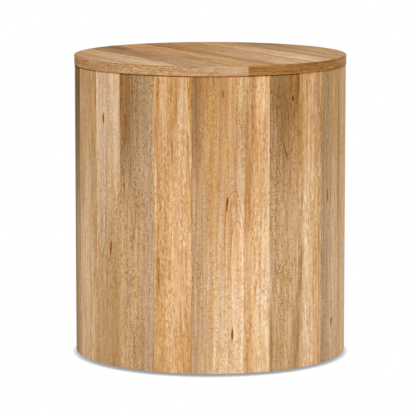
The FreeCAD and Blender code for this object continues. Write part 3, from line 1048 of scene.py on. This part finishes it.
lipping_looks = [
    dict(upper="clay clay clay", lower="caramel caramel caramel", seed=31, blend=(-0.08, 0.02)),
    dict(upper="tan clay tan clay", lower="clay tan tan clay", seed=32),
    dict(upper="toffee rose biscuit", lower="toffee oak clay", seed=34, blend=(-0.12, 0.22),
         marks="bark 0.5 -134 9 26 0.6"),
]
lipping_sizes = {
    "Face radius": lipping_radius, "Thickness": 1.6 * MM, "Flat back": 0.0,
    "Bottom": drum_top, "Top": table_height,
    "Seam ease": 0.02 * MM, "Bottom ease": 0.6 * MM, "Top ease": 1.2 * MM, "Steps round": 161,
    "Rabbet radius": 0.0, "Rabbet height": 0.0,
}
FRONT_SEAM = math.radians(15.6)
THIRD = math.tau / 3
for number, look in enumerate(lipping_looks):
    node = f"top_lipping_{number + 1}"
    look.update(rings=0.2, weave=4.0, fibres=1.7, dashes=2.0, speckle=1.1)
    wood = board_wood("mango_" + node, level_grain, table_height - drum_top, look)
    sizes = dict(lipping_sizes, **{"First bearing": FRONT_SEAM + number * THIRD,
                                   "Last bearing": FRONT_SEAM + (number + 1) * THIRD})
    piece = bent_board(node + "_wood", sizes, wood, node)
    print(node, "has", len(piece.data.polygons), "faces")

# %% [markdown]
# ## The boards of the top
#
# The top's boards are flat. They could be made again like the staves, but their model is
# already right: straight seams with a fine ease, a round outside, and the screw holes below.
# So they stay as they are and only need their wood. They run from back left to front right,
# and a Mapping node turns the pattern to lie along each of them. Heights in a look are then
# mm along the board, from its middle.

# %% Directions of the top boards
board_heading = math.radians(-62.0)
along_boards = Vector((math.cos(board_heading), math.sin(board_heading), 0))
across_boards = Vector((-along_boards.y, along_boards.x, 0))
UPRIGHT = Vector((0, 0, 1))


def turned_place(u_axis, w_axis, origin):
    """A function that puts a Mapping node into a material, set to a board's own directions."""
    turn = Matrix((u_axis, UPRIGHT, w_axis))

    def place_of(tree):
        return add(tree, "ShaderNodeMapping", {
            "Vector": add(tree, "ShaderNodeTexCoord", out="Object"),
            "Rotation": turn.to_euler(), "Location": -(turn @ origin)}, "Vector")
    return place_of


def extent(node, direction):
    """How far a piece reaches along a direction: its lowest and highest value."""
    values = [v.co.dot(direction) for v in node.data.vertices]
    return min(values), max(values)


def dress(node, material):
    """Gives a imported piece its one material."""
    node.data.materials.clear()
    node.data.materials.append(material)


print("the boards run at", round(math.degrees(board_heading)), "degrees")

# %% Top board looks and materials
board_looks = {
    1: dict(upper="toffee toffee rose tan clay", lower="biscuit rose blush rose tan"),
    2: dict(upper="sage biscuit tan tan clay", lower="tan blush sand rose toffee",
        marks="moss 0.97 -60 4 150 0.5; sand 0.75 20 8 110 0.4"),
    3: dict(upper="moss bark bark clay clay", lower="fawn sage tan tan clay",
        marks="umber 0.7 -175 11 55 0.9; moss 0.15 -40 6 150 0.4"),
    4: dict(upper="tan toffee toffee toffee toffee", lower="toffee toffee biscuit honey biscuit",
        marks="umber 0.98 -130 2.4 110 0.4; bark 0.15 60 2.2 60 0.5"),
    5: dict(upper="bark oak oak clay clay clay clay", lower="toffee clay rose blush rose rose sand",
        heart=(0.6, 3, -100, 0.08),
        marks="""gum 0.61 -28 3 9 0.9 0.2; umber 0 -30 3 220 0.45; bark 0.06 -150 9 80 0.7;
            gum 0.05 -160 3 60 0.5; moss 0.03 130 4 90 0.5"""),
    6: dict(upper="clay biscuit toffee tan toffee", lower="rose sand peach straw rose",
        marks="bark 0.06 -20 2.5 180 0.4"),
    7: dict(upper="moss moss moss bark bark", lower="sage sage rose sage rose",
        marks="moss 0.25 60 4 150 0.5; bark 0.85 -110 8 30 0.6"),
    8: dict(upper="clay clay honey honey", lower="rose rose toffee clay",
        marks="bark 0.25 40 2 60 0.5"),
}
for number, look in board_looks.items():
    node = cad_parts[f"top_board_{number}"]
    low, high = extent(node, across_boards)
    place_of = turned_place(across_boards, along_boards,
                            across_boards * ((low + high) / 2) + UPRIGHT * table_height)
    look.update(seed=number + 40.3, blend=(0.2, -0.2), streaks=1.2, fibres=1.5, dashes=1.3)
    dress(node, board_wood(f"mango_{node.name}", place_of, high - low, look))
    print(node.name, round((high - low) / MM), "mm wide")

# %% [markdown]
# ## Rings and battens below
#
# The ring frames and the battens are never seen in use, so a maker leaves them sanded but
# plain. Each mitred segment is cut from a straight board, so its grain follows the chord, not
# the circle. That is one Mapping node per segment.

# %% Materials for the ring segments and battens
bare_look = dict(upper="rose tan rose", lower="tan rose tan", rings=0.2, blend=(-0.1, 0.1))


def middle_of(node):
    """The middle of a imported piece's box."""
    low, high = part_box(node.name)
    return (low + high) / 2


def bare_wood(node, along):
    """Gives a hidden piece plain wood whose grain runs in a level direction."""
    middle = middle_of(node)
    across = Vector((-along.y, along.x, 0))
    low, high = extent(node, across)
    look = dict(bare_look, seed=60 + 3.1 * middle.x + 7.7 * middle.y)  # another seed at each place
    dress(node, board_wood("bare_" + node.name, turned_place(across, along, middle), high - low, look))


for end in ("lower", "upper"):
    for number in range(1, 7):
        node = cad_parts[f"{end}_ring_segment_{number}"]
        middle = middle_of(node)
        outward = Vector((middle.x, middle.y, 0)).normalized()
        bare_wood(node, Vector((-outward.y, outward.x, 0)))
for number in (1, 2):
    bare_wood(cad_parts[f"top_batten_{number}"], across_boards)
print("plain wood on 12 ring segments and 2 battens")

# %% [markdown]
# ## Glides and screws
#
# The glides are small feet of tough moulded plastic, dull and a little scuffed where they
# slide. The screws are zinc plated: bright metal with a faint yellow cast and fine turning
# marks. Both are a pair of close tones, mixed by a fine noise that also moves the gloss.

# %% Plastic and zinc
GLOSS_RANGE = 0.08


def fine_finish(name, tone, other_tone, scale, roughness, metallic):
    """A moulded or plated finish: two close tones, uneven gloss and a fine bump."""
    material, tree = new_material(name)
    noise = add(tree, "ShaderNodeTexNoise", {
        "Vector": add(tree, "ShaderNodeTexCoord", out="Object"), "Scale": scale, "Detail": 4.0}, "Fac")
    gloss = remap(noise, 0.3, 0.7, roughness - GLOSS_RANGE, roughness + GLOSS_RANGE)
    normal = add(tree, "ShaderNodeBump", {
        "Height": noise, "Strength": 0.2, "Distance": 0.03 * MM}, "Normal")
    shader = add(tree, "ShaderNodeBsdfPrincipled", {
        "Base Color": mix_tones(noise, linear(tone), linear(other_tone)), "Roughness": gloss,
        "Metallic": metallic, "Normal": normal}, "BSDF")
    add(tree, "ShaderNodeOutputMaterial", {"Surface": shader})
    return material


glide_plastic = fine_finish("glide_plastic", (88, 78, 70), (104, 94, 84), 900.0, 0.55, 0.0)
zinc = fine_finish("zinc_plate", (196, 196, 190), (176, 174, 164), 1400.0, 0.34, 1.0)
for name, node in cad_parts.items():
    if name.endswith("screws"):
        dress(node, zinc)
    elif name.startswith("glide_"):
        dress(node, glide_plastic)
print("glides and screws finished")

# %% [markdown]
# ## The studio: the floor
#
# The table stands on a plain white floor. A floor painted white would need so much light to
# show as white that the wood would burn out, so instead it glows with a strength of 1 for the
# camera and for reflections only, and stays a pale paint for every lamp. Within a few mm of the
# drum the glow fades to a cool grey share, a painted shadow along the drum's foot, and there the
# paint takes over with its real shade. In the thin gap under the drum the camera sees that cool
# painted grey over the gap's real shadow.

# %% Floor
FLOOR_SIZE = 60.0  # metres
SHADE_REACH = 8 * MM  # beyond the drum
SHADOW_GLOW_SHARE = 0.3
SHADOW_TINT, WHITE, PAINT = (0.86, 0.96, 1.0, 1), (1, 1, 1, 1), (0.84, 0.88, 0.92, 1)


def seen_directly(tree):
    """1 for the camera, a reflection or a clear piece, and 0 for light that lands elsewhere."""
    rays = wires(add(tree, "ShaderNodeLightPath").outputs)
    return rays["Is Camera Ray"].calc(
        "MAXIMUM", rays["Is Glossy Ray"].calc("MAXIMUM", rays["Is Transmission Ray"]))


half = FLOOR_SIZE / 2
corners = [(-half, -half, 0.0), (half, -half, 0.0), (half, half, 0.0), (-half, half, 0.0)]
floor = bpy.data.objects.new("studio_floor", bpy.data.meshes.new("studio_floor"))
floor.data.from_pydata(corners, [], [(0, 1, 2, 3)])
bpy.context.scene.collection.objects.link(floor)

floor_paint, tree = new_material("floor_paint")
# Painted shadow: the glow's share falls to about a third at the drum's edge and turns cool there, so the
# floor at the drum's foot and in the gap under it shows a painted cool grey over the paint's real shade.
off_centre = add(tree, "ShaderNodeTexCoord", out="Object").calc("LENGTH")
whiteness = remap(off_centre, drum_radius, drum_radius + SHADE_REACH, SHADOW_GLOW_SHARE, 1.0, smooth=True)
white = add(tree, "ShaderNodeEmission", {
    "Color": mix_tones(whiteness, SHADOW_TINT, WHITE), "Strength": 1.0}, "Emission")
paint = add(tree, "ShaderNodeBsdfDiffuse", {"Color": PAINT}, "BSDF")
surface = add(tree, "ShaderNodeMixShader", {
    0: seen_directly(tree) * whiteness, 1: paint, 2: white}, "Shader")
add(tree, "ShaderNodeOutputMaterial", {"Surface": surface})
dress(floor, floor_paint)
floor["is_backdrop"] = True
print("floor laid")

# %% [markdown]
# ## The studio: the light
#
# Two large soft lamps stand at the front, the right one a little stronger, so the drum's
# light falls off gently towards its left. A low lamp behind, which the drum hides, lights its
# back and the edges of its sides, and one above lights the top. A single hard lamp would show
# the form too, but it would burn the pale boards and drown the dark ones. Together with the
# world's even light these four reach a plain level, at which a tone renders about as it is
# written. The world itself shows as white.

# %% Lamps and surroundings
LAMPS = (  # name, place, aim, width, height, watts
    ("key_lamp", (3.6, -5.0, 1.8), (0, 0, 0.25), 3.4, 3.4, 92.0),
    ("fill_lamp", (-3.6, -5.0, 1.8), (0, 0, 0.25), 3.4, 3.4, 84.0),
    ("rear_lamp", (0.0, 4.6, 0.26), (0, 0, 0.26), 3.4, 0.44, 68.0),
    ("top_lamp", (0.0, 0.0, 4.0), (0, 0, 0.3), 3.4, 3.4, 43.5),
)
WORLD_LIGHT = 0.58

for name, place, aim, width, height, watts in LAMPS:
    light = bpy.data.lights.new(name, "AREA")
    light.shape = "RECTANGLE"
    light.size, light.size_y, light.energy = width, height, watts
    lamp = bpy.data.objects.new(name, light)
    lamp.location = place
    lamp.rotation_euler = (Vector(place) - Vector(aim)).to_track_quat("Z", "Y").to_euler()
    lamp.visible_camera = False
    bpy.context.scene.collection.objects.link(lamp)

world = bpy.data.worlds.new("studio_world")
bpy.context.scene.world = world
world.use_nodes = True
tree = world.node_tree
tree.nodes.clear()
level = remap(seen_directly(tree), 0.0, 1.0, WORLD_LIGHT, 1.0)
sky = add(tree, "ShaderNodeBackground", {"Color": WHITE, "Strength": level}, "Background")
add(tree, "ShaderNodeOutputWorld", {"Surface": sky})
bpy.context.scene.view_settings.view_transform = "Standard"
print(len(LAMPS), "lamps and a pale world")

# %% [markdown]
# ## The last check
#
# A finer mesh must not change the table's size. The finished table's box is measured against the
# model's, and the largest difference is printed; the two should agree to a few hundredths of a
# millimetre.

# %% Compare the finished table with the model, and finish
seen_box = [list(corner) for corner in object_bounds()]
growth = max(abs(a - b) for low, high in zip(model_box, seen_box) for a, b in zip(low, high))
print(f"the finished table differs from the model by {growth / MM:.2f} mm at most")
